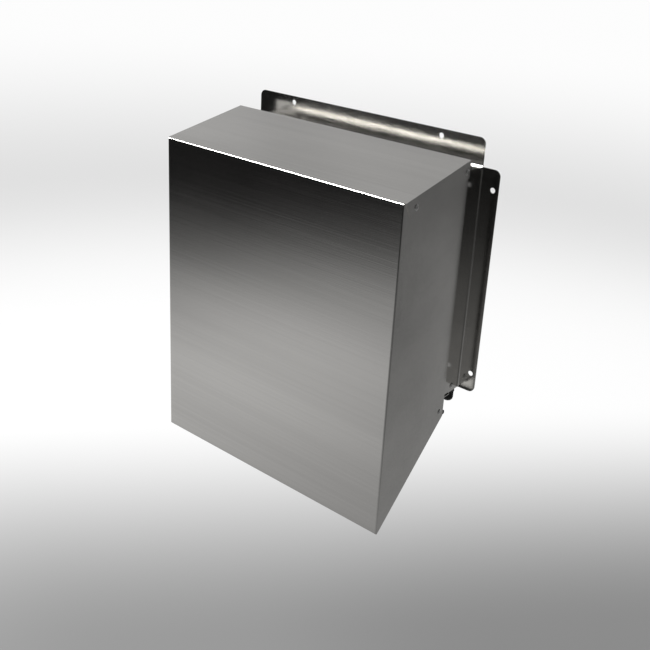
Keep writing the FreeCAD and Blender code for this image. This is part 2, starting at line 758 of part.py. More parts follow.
PLATE_FRONT = "(-sheet_gauge - standoff_length - plate_gauge)"
SEAT = f"({PLATE_FRONT} - rail_depth - 0.1)"
PLATE_CORNERS = [(x, z) for x in ("-standoff_x", "standoff_x")
                 for z in ("standoff_inset - plate_low", "plate_high - standoff_inset")]
RAILS = (("din_rail_upper", "upper_rail_z"), ("din_rail_lower", "-lower_rail_z"))
RAIL_SCREWS = [(x, level) for x in ("rail_screw_in - rail_length/2", "rail_length/2 - rail_screw_in")
               for _, level in RAILS]


def make_mounting_plate():
    """Flat plate on four standoffs, held by four slotted screws."""
    body = new_body("mounting_plate")
    face = rectangle("-plate_width/2", "plate_width/2", "-plate_low", "plate_high")
    back = outline(body, "XZ_Plane", face, "sheet_gauge + standoff_length")
    pad(body, back, "plate_gauge")
    half = size("plate_width/2")
    round_edges(body, "plate_corner", lambda edge: edge.Length < FOLD_LENGTH
                and any(spans(edge, x=side * half, z=size(end)) for side in (-1, 1)
                        for end in ("-plate_low", "plate_high")))
    pocket(body, circles(body, "XZ_Plane", PLATE_CORNERS, "stud_radius + running_fit"), None, "Symmetric")
    screws = circles(body, "XZ_Plane", RAIL_SCREWS, "rail_screw_radius + running_fit")
    pocket(body, screws, None, "Symmetric")

    wall = "stud_radius + standoff_wall"
    sleeve = turned([("stud_radius", "0"), (wall, "0"),
                     (wall, "standoff_length"), ("stud_radius", "standoff_length")])
    group("plate_standoffs", sleeve, [(x, "-sheet_gauge", z) for x, z in PLATE_CORNERS], "-y")
    screw = slotted_screw("stud_radius + stud_head_wide", "plate_screw_head", "stud_radius - running_fit",
                          "plate_gauge + standoff_length - running_fit")
    group("plate_screws", screw, [(x, PLATE_FRONT, z) for x, z in PLATE_CORNERS], "-y")


def make_rails():
    """Two slotted 35 mm top-hat rails and their screws."""
    half = "rail_height/2"
    web = "(rail_height/2 - rail_lip)"
    shelf = "rail_depth - rail_gauge"
    section = [(half, "rail_depth"), (half, shelf), (web, shelf), (web, "0"),
               (f"-{web}", "0"), (f"-{web}", shelf), (f"-{half}", shelf),
               (f"-{half}", "rail_depth"), (f"rail_gauge - {web}", "rail_depth"),
               (f"rail_gauge - {web}", "rail_gauge"),
               (f"{web} - rail_gauge", "rail_gauge"), (f"{web} - rail_gauge", "rail_depth")]
    for label, level in RAILS:
        body = new_body(label)
        profile = [(f"-({depth})", height) for height, depth in section]
        pad(body, outline(body, "YZ_Plane", profile), "rail_length", "Symmetric")
        slot = rectangle("rail_slot_start - rail_length/2",
                         "rail_slot_start + rail_slot_length - rail_length/2",
                         "-rail_slot_half", "rail_slot_half")
        first = pocket(body, outline(body, "XZ_Plane", slot, "2*rail_gauge"), "3*rail_gauge")
        pattern = body.newObject("PartDesign::LinearPattern", label + "Slots")
        pattern.Originals = [first]
        planes = {feature.Role: feature for feature in body.Origin.OriginFeatures}
        pattern.Direction = (planes["X_Axis"], [""])
        pattern.setExpression("Length", cells("rail_length - 2*rail_slot_start - rail_slot_length"))
        pattern.Occurrences = 12
        body.Tip = pattern
        document.recompute()
        place(body, "0", PLATE_FRONT, level)
    screw = slotted_screw("1.75*rail_screw_radius", "2.6*rail_gauge", "rail_screw_radius",
                          "rail_gauge + plate_gauge - running_fit")
    spots = [(x, f"{PLATE_FRONT} - rail_gauge", level) for x, level in RAIL_SCREWS]
    group("rail_screws", screw, spots, "-y")


# ---------------------------------------------------------------- modular devices

SCREW_SPOTS = []
MAIN_MODULES = 3
RCD_MODULES = 4
BREAKERS = 6


def device_body(label, modules, middle, slot_width, slot_shift="0"):
    """A moulded case that clips over the upper rail, with a slot for its toggle."""
    body = new_body(label)
    tall = "device_half_height"
    nose = "nose_half_height"
    hook = "(rail_height/2 + side_clearance)"
    edge = "shoulder_edge"
    section = [("-hook_depth", f"-{tall}"), ("-hook_depth", f"-{hook}"), ("0", f"-{hook}"), ("0", hook),
               ("-hook_depth", hook), ("-hook_depth", tall), (f"shoulder_depth - {edge}", tall),
               ("shoulder_depth", f"{tall} - {edge}"), ("shoulder_depth", f"{nose} + nose_draft"),
               ("nose_depth", nose), ("nose_depth", f"-{nose}"),
               ("shoulder_depth", f"-{nose} - nose_draft"), ("shoulder_depth", f"{edge} - {tall}"),
               (f"shoulder_depth - {edge}", f"-{tall}")]
    profile = [(f"-({depth})", height) for depth, height in section]
    width = f"({modules}*module_width - 2*side_clearance)"
    pad(body, outline(body, "YZ_Plane", profile), width, "Symmetric")
    slot = rectangle(f"{slot_shift} - {slot_width}/2", f"{slot_shift} + {slot_width}/2",
                     "-toggle_slot_half", "toggle_slot_half")
    opening = outline(body, "XZ_Plane", slot, "nose_depth")
    pocket(body, opening, "nose_depth - pivot_depth + toggle_slot_below")
    pin = circles(body, "YZ_Plane", [("-pivot_depth", "0")], "pin_radius + running_fit", slot_shift)
    pocket(body, pin, f"{slot_width} + 2*pin_radius", "Symmetric")

    poles = [f"({pole + 0.5} - {modules}/2)*module_width" for pole in range(modules)]
    levels = ("pole_screw_inset - device_half_height", "device_half_height - pole_screw_inset")
    screws = [(x, z) for x in poles for z in levels]
    wells = circles(body, "XZ_Plane", screws, "pole_screw_well", "shoulder_depth")
    pocket(body, wells, "pole_well_depth")
    entries = [(x, "-entry_depth") for x in poles]
    for end, low in (("device_half_height", False), ("-device_half_height", True)):
        mouths = circles(body, "XY_Plane", entries, "entry_radius", end)
        pocket(body, mouths, "entry_length", reverse=low)
    place(body, middle, SEAT, "upper_rail_z")
    depth = f"{SEAT} - shoulder_depth + pole_well_depth - 0.4"
    SCREW_SPOTS.extend((f"{middle} + {x}", depth, f"upper_rail_z + {z}") for x, z in screws)
    return body


def toggle(label, middle, width):
    """A rocking toggle: round hub with two pins and a tapered lever, shown switched on."""
    body = new_body(label)
    pad(body, circles(body, "YZ_Plane", [("0", "0")], "hub_radius"), width, "Symmetric")
    root = "pin_radius - hub_radius"
    lever = [(root, "-0.4*hub_radius"), ("-toggle_reach", "-0.2*hub_radius"),
             ("-toggle_reach", "0.22*hub_radius"), (root, "0.5*hub_radius")]
    pad(body, outline(body, "YZ_Plane", lever), width, "Symmetric")
    tip = size("-toggle_reach")
    round_edges(body, "0.14*hub_radius",
                lambda edge: spans(edge, y=tip) and edge.Length > size("2*hook_depth"))
    pins = circles(body, "YZ_Plane", [("0", "0")], "pin_radius")
    pad(body, pins, f"{width} + 1.6*pin_radius", "Symmetric")
    turn = Rotation(Vector(1, 0, 0), -size("toggle_angle"))
    place(body, middle, f"{SEAT} - pivot_depth", "upper_rail_z", turn)


def make_devices():
    """Main switch, residual-current device and six single-pole breakers on the upper rail."""
    modules = MAIN_MODULES + RCD_MODULES + BREAKERS
    start = f"(-{modules}/2*module_width)"
    margin = "2*side_clearance"
    main_middle = f"({start} + {MAIN_MODULES / 2}*module_width)"
    wide = "(2.28*module_width)"
    device_body("main_switch_case", MAIN_MODULES, main_middle, f"({wide} + {margin})")
    toggle("main_switch_toggle", main_middle, wide)

    rcd_middle = f"({start} + {MAIN_MODULES + RCD_MODULES / 2}*module_width)"
    aside = "1.1*module_width"
    rcd = device_body("residual_current_case", RCD_MODULES, rcd_middle,
                      f"(module_width + {margin})", f"(-{aside})")
    hole = circles(rcd, "XZ_Plane", [(aside, "0")], "button_radius + 4*running_fit", "nose_depth")
    pocket(rcd, hole, "3*button_out")
    toggle("residual_current_toggle", f"{rcd_middle} - {aside}", "module_width")
    bevel = "0.2*button_out"
    button = turned([("0", "-shoulder_edge"), ("button_radius", "-shoulder_edge"),
                     ("button_radius", f"button_out - {bevel}"),
                     (f"button_radius - {bevel}", "button_out"), ("0", "button_out")])
    spot = (f"{rcd_middle} + {aside}", f"{SEAT} - nose_depth", "upper_rail_z")
    group("test_button", button, [spot], "-y")

    for number in range(BREAKERS):
        middle = f"({start} + {MAIN_MODULES + RCD_MODULES + number + 0.5}*module_width)"
        device_body(f"breaker_{number + 1}_case", 1, middle, f"(toggle_width + {margin})")
        toggle(f"breaker_{number + 1}_toggle", middle, "toggle_width")
    screw = slotted_screw("pole_screw_well - running_fit*4", "0.4*pole_well_depth", "0.4*pole_screw_well",
                          "running_fit*4")
    group("device_screws", screw, SCREW_SPOTS, "-y")
    make_busbar(f"({start} + {MAIN_MODULES + RCD_MODULES}*module_width)")


def make_busbar(left):
    """Comb that feeds the breakers from below, and its moulded cover."""
    low = "upper_rail_z - device_half_height - busbar_drop"
    back = f"{SEAT} - entry_depth"
    rear = f"{back} - busbar_gauge/2"
    whole = f"{BREAKERS}*module_width"
    comb = block("busbar_strip", (f"{left} + busbar_gauge", rear, low),
                 (f"{whole} - 2*busbar_gauge", "busbar_gauge", "busbar_height"))
    teeth = []
    for number in range(BREAKERS):
        tooth_left = f"{left} + {number + 0.5}*module_width - tooth_width/2"
        teeth.append(block(f"busbar_tooth_{number}", (tooth_left, rear, f"{low} + busbar_height - 1"),
                           ("tooth_width", "busbar_gauge", "tooth_length")))
    node(joined("busbar_comb", [comb] + teeth), "busbar_comb")
    base = f"{low} - shroud_wall"
    shroud = block("busbar_block", (left, f"{back} - shroud_depth/2", base),
                   (whole, "shroud_depth", "busbar_height + shroud_wall"))
    room = "busbar_gauge + 8*running_fit"
    space = block("busbar_space", (f"{left} + shroud_wall", f"{back} - ({room})/2", f"{low} - 4*running_fit"),
                  (f"{whole} - 2*shroud_wall", room, "2*busbar_height"))
    node(cut("busbar_cover", shroud, [space]), "busbar_cover")


# ---------------------------------------------------------------- terminals and bars

TERMINAL_KINDS = (("phase_terminals", 12), ("neutral_terminals", 3), ("earth_terminals", 3))


def terminal_shape():
    """One feed-through terminal along the lower rail, from its own left face."""
    tall = size("terminal_height/2")
    deep = size("terminal_depth")
    hook = size("rail_height/2 + side_clearance")
    heel = -size("hook_depth")
    edge = size("terminal_chamfer")
    shoulder = deep - size("terminal_well_in")
    front = deep - edge / 2
    corners = [(heel, -tall), (heel, -hook), (0, -hook), (0, hook), (heel, hook), (heel, tall),
               (shoulder, tall), (front, tall - edge), (deep, tall - edge), (deep, edge - tall),
               (front, edge - tall), (shoulder, -tall)]
    points = [Vector(0, -depth, height) for depth, height in corners]
    face = Part.Face(Part.makePolygon(points + points[:1]))
    shape = face.extrude(Vector(size("terminal_width - 4*running_fit"), 0, 0))
    middle = size("terminal_width/2 - 2*running_fit")
    well_depth = size("terminal_well_depth")
    for level in (tall - size("terminal_well_in"), size("terminal_well_in") - tall):
        well = Part.makeCylinder(size("terminal_well"), 2 * well_depth,
                                 Vector(middle, well_depth - deep, level), Vector(0, -1, 0))
        shape = shape.cut(well)
    return shape


def make_terminals():
    """Terminal blocks with their screws and end stops on the lower rail."""
    shape = terminal_shape()
    index = 0
    screw_places = []
    levels = ("terminal_height/2 - terminal_well_in", "terminal_well_in - terminal_height/2")
    depth = f"{SEAT} - terminal_depth + terminal_well_depth - seal_gap"
    for label, count in TERMINAL_KINDS:
        spots = [(f"{index + step}*terminal_width - terminal_row", SEAT, "-lower_rail_z")
                 for step in range(count)]
        index += count
        group(label, shape, spots)
        screw_places += [(f"{x} + terminal_width/2 - 2*running_fit", depth, f"{z} - lower_rail_z")
                         for x, _, _ in spots for z in levels]
    screw = slotted_screw("terminal_well - seal_gap", "0.35*terminal_well_depth",
                          "0.4*terminal_well", "seal_gap")
    group("terminal_screws", screw, screw_places, "-y")

    tall = "(terminal_height/2 + stud_head_wide)"
    thick = size("end_stop_width")
    back = "(terminal_depth - 3*hook_depth)"
    stop = Part.makeBox(thick, size(f"{back} + hook_depth"), size(f"2*{tall}"))
    recess = Part.makeBox(thick, size("hook_depth"), size("rail_height + 2*side_clearance"),
                          Vector(0, size(back), size(f"{tall} - rail_height/2 - side_clearance")))
    places = [(x, f"{SEAT} - {back}", f"-lower_rail_z - {tall}")
              for x in ("-terminal_row - end_stop_gap - end_stop_width",
                        f"{index}*terminal_width - terminal_row + end_stop_gap")]
    group("terminal_end_stops", stop.cut(recess), places)


def make_bars():
    """Neutral and earth bars with their screws, each on two moulded feet."""
    supports = []
    screws = []
    half = "bar_section/2"
    front = f"{PLATE_FRONT} - bar_standoff"
    spots = [f"({step} - 5)*bar_length/12.5" for step in range(11)]
    for label, side in (("neutral_bar", "-"), ("earth_bar", "")):
        body = new_body(label)
        section = rectangle("-bar_section", "0", f"-{half}", half)
        pad(body, outline(body, "YZ_Plane", section), "bar_length", "Symmetric")
        wells = circles(body, "XZ_Plane", [(x, "0") for x in spots], "bar_screw_well", "bar_section")
        pocket(body, wells, "bar_well_depth")
        mouths = circles(body, "XY_Plane", [(x, f"-{half}") for x in spots], "bar_wire_hole")
        pocket(body, mouths, None, "Symmetric")
        place(body, f"{side}bar_x", front, "-bar_z")
        depth = f"{front} - bar_section + 0.8*bar_well_depth"
        screws += [(f"{side}bar_x + {x}", depth, "-bar_z") for x in spots]
        supports += [(f"{side}bar_x + {x}", PLATE_FRONT, "-bar_z")
                     for x in ("0.45*bar_section - bar_length/2", "bar_length/2 - 0.45*bar_section")]
    screw = slotted_screw("bar_screw_well - 2*running_fit", "0.45*bar_well_depth", "0.4*bar_screw_well",
                          "seal_gap")
    group("bar_screws", screw, screws, "-y")
    width = size("0.8*bar_section")
    tall = size("bar_section + stud_head_wide")
    foot = Part.makeBox(width, tall, size("bar_standoff"), Vector(-width / 2, -tall / 2, 0))
    group("bar_supports", foot, supports, "-y")


# ---------------------------------------------------------------- checks and export

def export_nodes():
    """Stop on any failed object, then write one STEP file for each sub-part."""
    document.recompute()
    for thing in document.Objects:
        if {"Invalid", "Error"} & set(thing.State):
            raise RuntimeError(f"{thing.Label} failed: {thing.State}")
    labels = [thing.Label for thing in NODES]
    if len(set(labels)) != len(labels) or len(labels) > 60:
        raise RuntimeError("sub-part names repeat or are too many")
    os.makedirs("parts", exist_ok=True)
    for thing in NODES:
        shape = thing.Shape
        if shape.isNull() or not shape.isValid() or shape.Volume <= 0:
            raise RuntimeError(f"{thing.Label} has no valid shape")
        shape.exportStep(f"parts/{thing.Label}.step")
    print(f"{len(NODES)} sub-parts written")


make_cover()
make_cover_fittings()
TRAY_RIVETS = make_tray()
make_gland_plate(TRAY_RIVETS)
make_back_plate()
make_tray_fittings(TRAY_RIVETS)
make_gland()
make_mounting_plate()
make_rails()
make_devices()
make_terminals()
make_bars()
export_nodes()
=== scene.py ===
"""Finishes, wiring, light and camera for the stainless switchboard cabinet, in metres."""

import json
from math import cos, pi, sin

import bpy
import numpy as np
from mathutils import Matrix, Vector


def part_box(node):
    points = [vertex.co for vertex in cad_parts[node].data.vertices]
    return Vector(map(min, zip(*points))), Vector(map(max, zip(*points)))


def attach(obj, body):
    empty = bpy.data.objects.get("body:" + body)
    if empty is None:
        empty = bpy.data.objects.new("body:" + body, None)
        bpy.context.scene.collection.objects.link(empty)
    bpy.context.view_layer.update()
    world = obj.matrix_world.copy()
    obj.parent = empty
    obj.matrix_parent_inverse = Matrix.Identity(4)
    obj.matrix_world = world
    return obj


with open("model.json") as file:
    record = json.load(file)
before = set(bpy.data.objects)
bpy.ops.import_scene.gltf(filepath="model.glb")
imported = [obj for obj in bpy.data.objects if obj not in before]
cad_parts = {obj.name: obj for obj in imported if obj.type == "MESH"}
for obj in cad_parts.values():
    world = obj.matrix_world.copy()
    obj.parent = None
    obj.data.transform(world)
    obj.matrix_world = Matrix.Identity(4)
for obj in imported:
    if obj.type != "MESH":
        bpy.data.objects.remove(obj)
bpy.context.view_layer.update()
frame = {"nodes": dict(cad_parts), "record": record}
nodes = frame["nodes"]
scene = bpy.context.scene


# ---------------------------------------------------------------- material nodes

def start_material(name, colour, roughness, metallic=0.0):
    """A material with its shader's plain numbers set, and its tree ready for a pattern."""
    material = bpy.data.materials.new(name)
    material.use_nodes = True
    tree = material.node_tree
    shader = tree.nodes["Principled BSDF"]
    shader.inputs["Base Color"].default_value = (*colour, 1)
    shader.inputs["Roughness"].default_value = roughness
    shader.inputs["Metallic"].default_value = metallic
    return material, tree, shader


def add(tree, kind, **settings):
    """A node with its properties, and its inputs where the setting's name is one."""
    made = tree.nodes.new("ShaderNode" + kind)
    for name, amount in settings.items():
        if hasattr(made, name):
            setattr(made, name, amount)
        else:
            made.inputs[name.replace("_", " ").title()].default_value = amount
    return made


def object_pattern(tree, scale, turn=(0, 0, 0)):
    """Object coordinates, turned and then stretched differently along each axis."""
    place = add(tree, "TexCoord")
    mapping = add(tree, "Mapping", vector_type="POINT")
    mapping.inputs["Scale"].default_value = scale
    mapping.inputs["Rotation"].default_value = turn
    tree.links.new(place.outputs["Object"], mapping.inputs["Vector"])
    return mapping.outputs["Vector"]


def noise(tree, vector, scale, detail=4.0, roughness=0.5):
    """Noise between about 0.3 and 0.7, stretched to fill 0 to 1."""
    grain = add(tree, "TexNoise", scale=scale, detail=detail, roughness=roughness)
    tree.links.new(vector, grain.inputs["Vector"])
    spread = add(tree, "MapRange")
    spread.inputs["From Min"].default_value = 0.3
    spread.inputs["From Max"].default_value = 0.7
    tree.links.new(grain.outputs["Fac"], spread.inputs["Value"])
    return spread.outputs["Result"]


def between(tree, factor, low, high, top=1.0):
    """A number that runs from low to high as the factor runs from 0 to top."""
    span = add(tree, "MapRange")
    span.inputs["From Max"].default_value = top
    span.inputs["To Min"].default_value = low
    span.inputs["To Max"].default_value = high
    tree.links.new(factor, span.inputs["Value"])
    return span.outputs["Result"]


def blend_colours(tree, factor, low, high):
    """A colour that runs from low to high with the factor."""
    mix = tree.nodes.new("ShaderNodeMix")
    mix.data_type = "RGBA"
    mix.inputs[6].default_value = (*low, 1)
    mix.inputs[7].default_value = (*high, 1)
    tree.links.new(factor, mix.inputs["Factor"])
    return mix.outputs[2]


def add_up(tree, first, second, share):
    """first plus a share of second."""
    total = add(tree, "Math", operation="MULTIPLY_ADD")
    total.inputs[1].default_value = share
    tree.links.new(second, total.inputs[0])
    tree.links.new(first, total.inputs[2])
    return total.outputs["Value"]


def times(tree, first, second):
    """first times second."""
    product = add(tree, "Math", operation="MULTIPLY")
    tree.links.new(first, product.inputs[0])
    tree.links.new(second, product.inputs[1])
    return product.outputs["Value"]


def relief(tree, height, depth):
    """A bump node that lifts the surface by up to depth metres where height is 1."""
    lift = add(tree, "Bump")
    lift.inputs["Distance"].default_value = depth
    tree.links.new(height, lift.inputs["Height"])
    return lift


def bump(tree, shader, height, depth):
    """Give the shader's surface a relief, and hand back the relief's node."""
    lift = relief(tree, height, depth)
    tree.links.new(lift.outputs["Normal"], shader.inputs["Normal"])
    return lift


def scaled(colour, share, lift=0.0):
    """A colour times a share, plus a small lift, held at white."""
    return tuple(min(1.0, channel * share + lift) for channel in colour)


# ---------------------------------------------------------------- finishes

# how fine each pattern is along X, Y and Z, in noise steps for each metre
EVEN = (1, 1, 1)
FINE_LINES = (4, 1400, 1400)
STREAKS = (1.6, 190, 190)
SOFT_BANDS = (0.8, 14, 20)
SHEET_WAVES = (1, 1, 1.3)
TURNED_LINES = (300, 300, 1800)
TURNED_SLANT = (0.3, 0.2, 0.1)
BRUSHED_SHADES = (0.88, 1.07)
BRUSHED_GLOSS_SPREAD = 0.45


def brushed_sheet(name, colour, rough_low, rough_high, grain_depth, wave_depth):
    """Rolled and brushed sheet: long fine lines along X, slow waves, handling marks, mottling."""
    material, tree, shader = start_material(name, colour, rough_low, 1.0)
    shader.inputs["Anisotropic"].default_value = BRUSHED_GLOSS_SPREAD
    fine = noise(tree, object_pattern(tree, FINE_LINES), 1.0, 2.0, 0.6)
    streaks = noise(tree, object_pattern(tree, STREAKS), 1.0, 5.0, 0.7)
    bands = noise(tree, object_pattern(tree, SOFT_BANDS), 1.0, 2.0, 0.5)
    place = object_pattern(tree, EVEN)
    marks = noise(tree, place, 9.0, 6.0, 0.6)
    mottling = noise(tree, place, 70.0, 6.0, 0.6)
    grain = add_up(tree, fine, streaks, 0.7)
    wear = add_up(tree, add_up(tree, grain, marks, 0.8), mottling, 0.3)
    tree.links.new(between(tree, wear, rough_low, rough_high, top=2.8), shader.inputs["Roughness"])
    shade = add_up(tree, add_up(tree, streaks, bands, 1.4), fine, 0.5)
    dark, pale = (scaled(colour, share) for share in BRUSHED_SHADES)
    tree.links.new(blend_colours(tree, between(tree, shade, 0.0, 1.0, top=2.9), dark, pale),
                   shader.inputs["Base Color"])
    swell = relief(tree, noise(tree, object_pattern(tree, SHEET_WAVES), 3.2, 1.0), wave_depth)
    lines = bump(tree, shader, grain, grain_depth)
    tree.links.new(swell.outputs["Normal"], lines.inputs["Normal"])
    return material


def turned_metal(name, colour, rough_low, rough_high):
    """Small machined or plated metal: fine random scratches and a slight tarnish."""
    material, tree, shader = start_material(name, colour, rough_low, 1.0)
    scratches = noise(tree, object_pattern(tree, TURNED_LINES, TURNED_SLANT), 1.0, 4.0, 0.6)
    tarnish = noise(tree, object_pattern(tree, EVEN), 180.0, 5.0)
    tree.links.new(between(tree, scratches, rough_low, rough_high), shader.inputs["Roughness"])
    tree.links.new(blend_colours(tree, tarnish, scaled(colour, 0.8), colour), shader.inputs["Base Color"])
    bump(tree, shader, scratches, 0.00002)
    return material


def spangled(name, colour, rough_low, rough_high):
    """Galvanised sheet: crystals of slightly different grey and gloss."""
    material, tree, shader = start_material(name, colour, rough_low, 1.0)
    place = object_pattern(tree, EVEN)
    crystals = add(tree, "TexVoronoi", feature="F1", scale=140.0)
    tree.links.new(place, crystals.inputs["Vector"])
    tint = add(tree, "SeparateColor")
    tree.links.new(crystals.outputs["Color"], tint.inputs["Color"])
    haze = noise(tree, place, 30.0, 5.0)
    mixed = add_up(tree, tint.outputs["Red"], haze, 0.3)
    tree.links.new(between(tree, mixed, rough_low, rough_high), shader.inputs["Roughness"])
    tree.links.new(blend_colours(tree, tint.outputs["Green"], scaled(colour, 0.82), colour),
                   shader.inputs["Base Color"])
    bump(tree, shader, haze, 0.00003)
    return material


def moulded(name, colour, rough_low, rough_high, grain_scale=1600.0, depth=0.00003):
    """Moulded plastic: fine spark texture, faint flow shading and a little dust in the lows."""
    material, tree, shader = start_material(name, colour, rough_low)
    place = object_pattern(tree, EVEN)
    spark = noise(tree, place, grain_scale, 3.0, 0.6)
    flow = noise(tree, place, 45.0, 3.0)
    tree.links.new(between(tree, add_up(tree, spark, flow, 0.6), rough_low, rough_high),
                   shader.inputs["Roughness"])
    dusty = scaled(colour, 1.06, 0.004)
    tree.links.new(blend_colours(tree, flow, scaled(colour, 0.9), dusty), shader.inputs["Base Color"])
    bump(tree, shader, spark, depth)
    return material


def rubber(name, colour):
    """Black rubber: dull, with pores and pale bloom."""
    material, tree, shader = start_material(name, colour, 0.7)
    place = object_pattern(tree, EVEN)
    pores = noise(tree, place, 900.0, 5.0, 0.7)
    bloom = noise(tree, place, 60.0, 4.0)
    tree.links.new(between(tree, bloom, 0.62, 0.85), shader.inputs["Roughness"])
    tree.links.new(blend_colours(tree, bloom, colour, scaled(colour, 1.0, 0.012)),
                   shader.inputs["Base Color"])
    bump(tree, shader, pores, 0.00008)
    return material


def insulation(name, colour, second_shade):
    """Wire insulation: satin plastic with fine grain and a second shade in slow bands."""
    material, tree, shader = start_material(name, colour, 0.35)
    place = object_pattern(tree, EVEN)
    grain = noise(tree, place, 2400.0, 2.0)
    shades = noise(tree, place, 55.0, 2.0)
    tree.links.new(blend_colours(tree, shades, colour, second_shade), shader.inputs["Base Color"])
    tree.links.new(between(tree, grain, 0.3, 0.46), shader.inputs["Roughness"])
    bump(tree, shader, grain, 0.00002)
    return material


STAINLESS = (0.645, 0.635, 0.615)
FINISHES = {
    "stainless_sheet": brushed_sheet("brushed_stainless", STAINLESS, 0.09, 0.19, 0.000009, 0.0004),
    "rivet_steel": turned_metal("rivet_steel_finish", (0.66, 0.66, 0.65), 0.2, 0.36),
    "fixing_steel": turned_metal("zinc_plate", (0.7, 0.71, 0.72), 0.16, 0.34),
    "nickel_brass": turned_metal("bright_brass", (0.75, 0.6, 0.32), 0.18, 0.36),
    "copper": turned_metal("busbar_copper", (0.82, 0.42, 0.26), 0.2, 0.4),
    "galvanised_plate": spangled("galvanised_spangle", (0.56, 0.58, 0.59), 0.3, 0.52),
    "galvanised_rail": brushed_sheet("passivated_rail", (0.66, 0.65, 0.58), 0.22, 0.4, 0.00001, 0.0002),
    "black_rubber": rubber("black_rubber_bloom", (0.012, 0.012, 0.012)),
    "black_nylon": moulded("black_nylon_grain", (0.013, 0.014, 0.014), 0.38, 0.55),
    "light_grey_case": moulded("light_grey_moulding", (0.62, 0.63, 0.61), 0.36, 0.55),
    "mid_grey_plastic": moulded("mid_grey_moulding", (0.26, 0.27, 0.28), 0.36, 0.55),
    "blue_plastic": moulded("blue_moulding", (0.03, 0.15, 0.42), 0.34, 0.52),
    "green_plastic": moulded("green_moulding", (0.1, 0.33, 0.05), 0.34, 0.52),
    "red_toggle": moulded("red_gloss_moulding", (0.5, 0.02, 0.015), 0.16, 0.28, 900.0, 0.00001),
    "blue_toggle": moulded("blue_gloss_moulding", (0.02, 0.09, 0.32), 0.16, 0.28, 900.0, 0.00001),
    "black_toggle": moulded("black_gloss_moulding", (0.015, 0.015, 0.016), 0.16, 0.28, 900.0, 0.00001),
    "yellow_button": moulded("yellow_gloss_moulding", (0.72, 0.48, 0.02), 0.18, 0.3, 900.0, 0.00001),
}

for part in frame["record"]["subparts"]:
    for material_slot in nodes[part["node"]].material_slots:
        material_slot.material = FINISHES[part["material_slot"]]


# ---------------------------------------------------------------- wiring

BLACK_WIRE = (insulation("black_insulation", (0.014, 0.014, 0.015), (0.03, 0.03, 0.032)), "black_nylon")
BLUE_WIRE = (insulation("blue_insulation", (0.02, 0.1, 0.42), (0.04, 0.16, 0.5)), "blue_plastic")
GREEN_WIRE = (insulation("green_insulation", (0.07, 0.3, 0.03), (0.16, 0.42, 0.04)), "green_plastic")

WIRE_RADIUS = 0.0014
FERRULE_RADIUS = 0.0019
FERRULE_LENGTH = 0.008
WIRE_SIDES = 10
ROUTE_STEPS = 12

# the devices', terminals' and bars' pitches, mouths and grips, in millimetres
MODULE = 17.8
FIRST_POLE = 8.6
DEVICE_MOUTH = -49.6
DEVICE_GRIP = 4
TERMINAL = 6.2
TERMINAL_MOUTH = -41
TERMINAL_GRIP = 2
BAR_MIDDLE = 85
BAR_PITCH = 7.2
BAR_MOUTH = -29.5
BAR_GAP = 0.5
WIRE_LANE = 4


def smooth_route(corners):
    """A clamped quadratic B-spline: each span blends three neighbouring corners by (1-t)^2/2,
    1/2 + t(1-t) and t^2/2, and the end corners are mirrored so that the line starts and ends on them.
    """
    first = 2 * corners[0] - corners[1]
    last = 2 * corners[-1] - corners[-2]
    hull = np.vstack([first, corners, last])
    t = np.linspace(0, 1, ROUTE_STEPS, endpoint=False)[:, None]
    weights = ((1 - t) ** 2 / 2, 0.5 + t * (1 - t), t ** 2 / 2)
    spans = [weights[0] * before + weights[1] * middle + weights[2] * after
             for before, middle, after in zip(hull[:-2], hull[1:-1], hull[2:])]
    end = (hull[-2] + hull[-1]) / 2
    return np.vstack(spans + [end])


def unit(vectors):
    return vectors / np.linalg.norm(vectors, axis=1)[:, None]


def make_wire(name, insulated, *corners):
    """A round tube along a smooth route given in millimetres: centre plus radius times (across
    cosine + over sine), where across is square to the route and to +Y. The radius is a ferrule's
    near both ends, and a flat face closes each end.
    """
    finish, slot = insulated
    line = smooth_route(np.array(corners) / 1000)
    steps = np.linalg.norm(np.diff(line, axis=0), axis=1)
    run = np.concatenate([[0], np.cumsum(steps)])
    heading = unit(np.gradient(line, axis=0))
    across = unit(np.cross(heading, (0, 1, 0)))
    over = np.cross(heading, across)
    from_end = np.minimum(run, run[-1] - run)
    radius = np.where(from_end < FERRULE_LENGTH, FERRULE_RADIUS, WIRE_RADIUS)
    turn = np.linspace(0, 2 * pi, WIRE_SIDES, endpoint=False)[None, :, None]
    ring = across[:, None] * np.cos(turn) + over[:, None] * np.sin(turn)
    points = line[:, None] + radius[:, None, None] * ring
    rows, sides = np.meshgrid(np.arange(len(line) - 1), np.arange(WIRE_SIDES), indexing="ij")
    here = rows * WIRE_SIDES + sides
    beside = rows * WIRE_SIDES + (sides + 1) % WIRE_SIDES
    walls = np.stack([here, beside, beside + WIRE_SIDES, here + WIRE_SIDES], axis=-1).reshape(-1, 4)
    start = np.arange(WIRE_SIDES)[::-1]
    end = np.arange(WIRE_SIDES) + (len(line) - 1) * WIRE_SIDES
    mesh = bpy.data.meshes.new(name)
    mesh.from_pydata(points.reshape(-1, 3).tolist(), [], [*walls.tolist(), start.tolist(), end.tolist()])
    mesh.shade_smooth()
    mesh.materials.append(finish)
    wire = bpy.data.objects.new(name, mesh)
    scene.collection.objects.link(wire)
    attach(wire, "root")


def node_box(name):
    """A node's lowest and highest corners in millimetres."""
    low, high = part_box(name)
    return np.array(low) * 1000, np.array(high) * 1000


